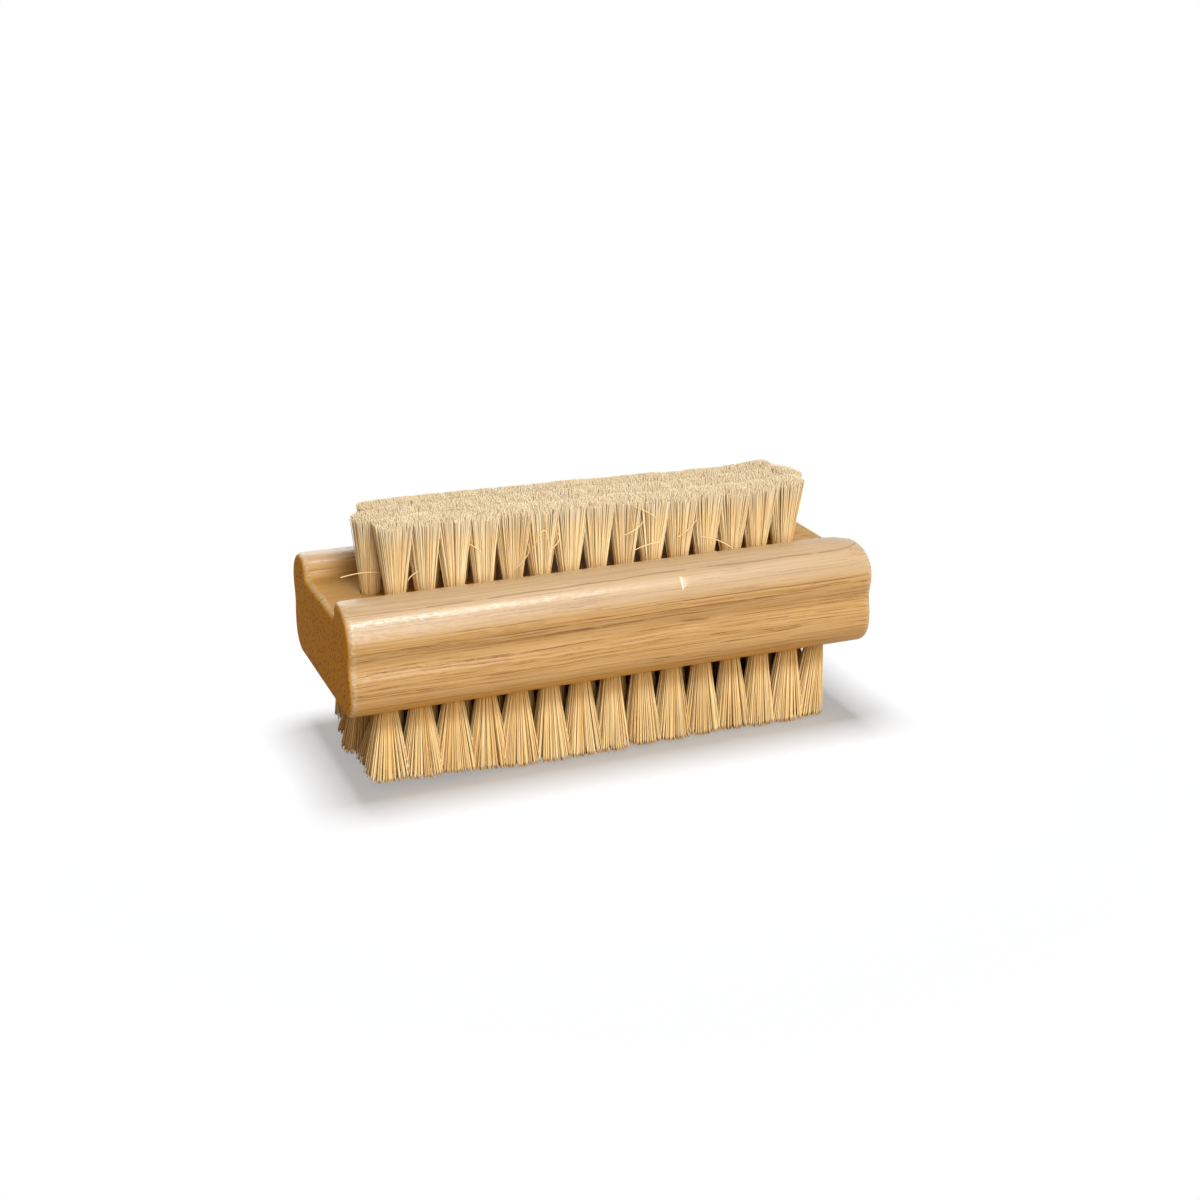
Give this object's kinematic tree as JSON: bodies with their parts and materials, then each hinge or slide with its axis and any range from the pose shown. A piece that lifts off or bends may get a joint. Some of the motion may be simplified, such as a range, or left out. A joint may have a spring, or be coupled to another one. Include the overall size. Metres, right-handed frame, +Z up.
{
  "type": "nail brush",
  "caption": "Double-sided nail brush: a bamboo block with raised rails, short plant-fibre tufts in its trough for nails and a wider field of tufts below for hands.",
  "frame": {"origin": "on the surface the brush stands on, under the middle of the brush", "axes": "+X along the brush's length, +Y across it, +Z up out of the trough with the nail-side bristles"},
  "size_m": [0.095, 0.0388, 0.043],
  "materials": {
    "bamboo": "satin sanded bamboo with lengthwise grain",
    "nail_bristle": "pale plant fibre",
    "hand_bristle": "golden plant fibre",
    "anchor_wire": "flat drawn wire"
  },
  "bodies": {
    "root": {"lower_ply": "bamboo", "middle_ply": "bamboo", "upper_ply": "bamboo", "nail_tufts_front": "nail_bristle", "nail_tufts_middle": "nail_bristle", "nail_tufts_back": "nail_bristle", "hand_tufts_front": "hand_bristle", "hand_tufts_front_inner": "hand_bristle", "hand_tufts_middle": "hand_bristle", "hand_tufts_back_inner": "hand_bristle", "hand_tufts_back": "hand_bristle", "nail_anchors_front": "anchor_wire", "nail_anchors_middle": "anchor_wire", "nail_anchors_back": "anchor_wire", "hand_anchors_front": "anchor_wire", "hand_anchors_front_inner": "anchor_wire", "hand_anchors_middle": "anchor_wire", "hand_anchors_back_inner": "anchor_wire", "hand_anchors_back": "anchor_wire"}
  },
  "joints": []
}
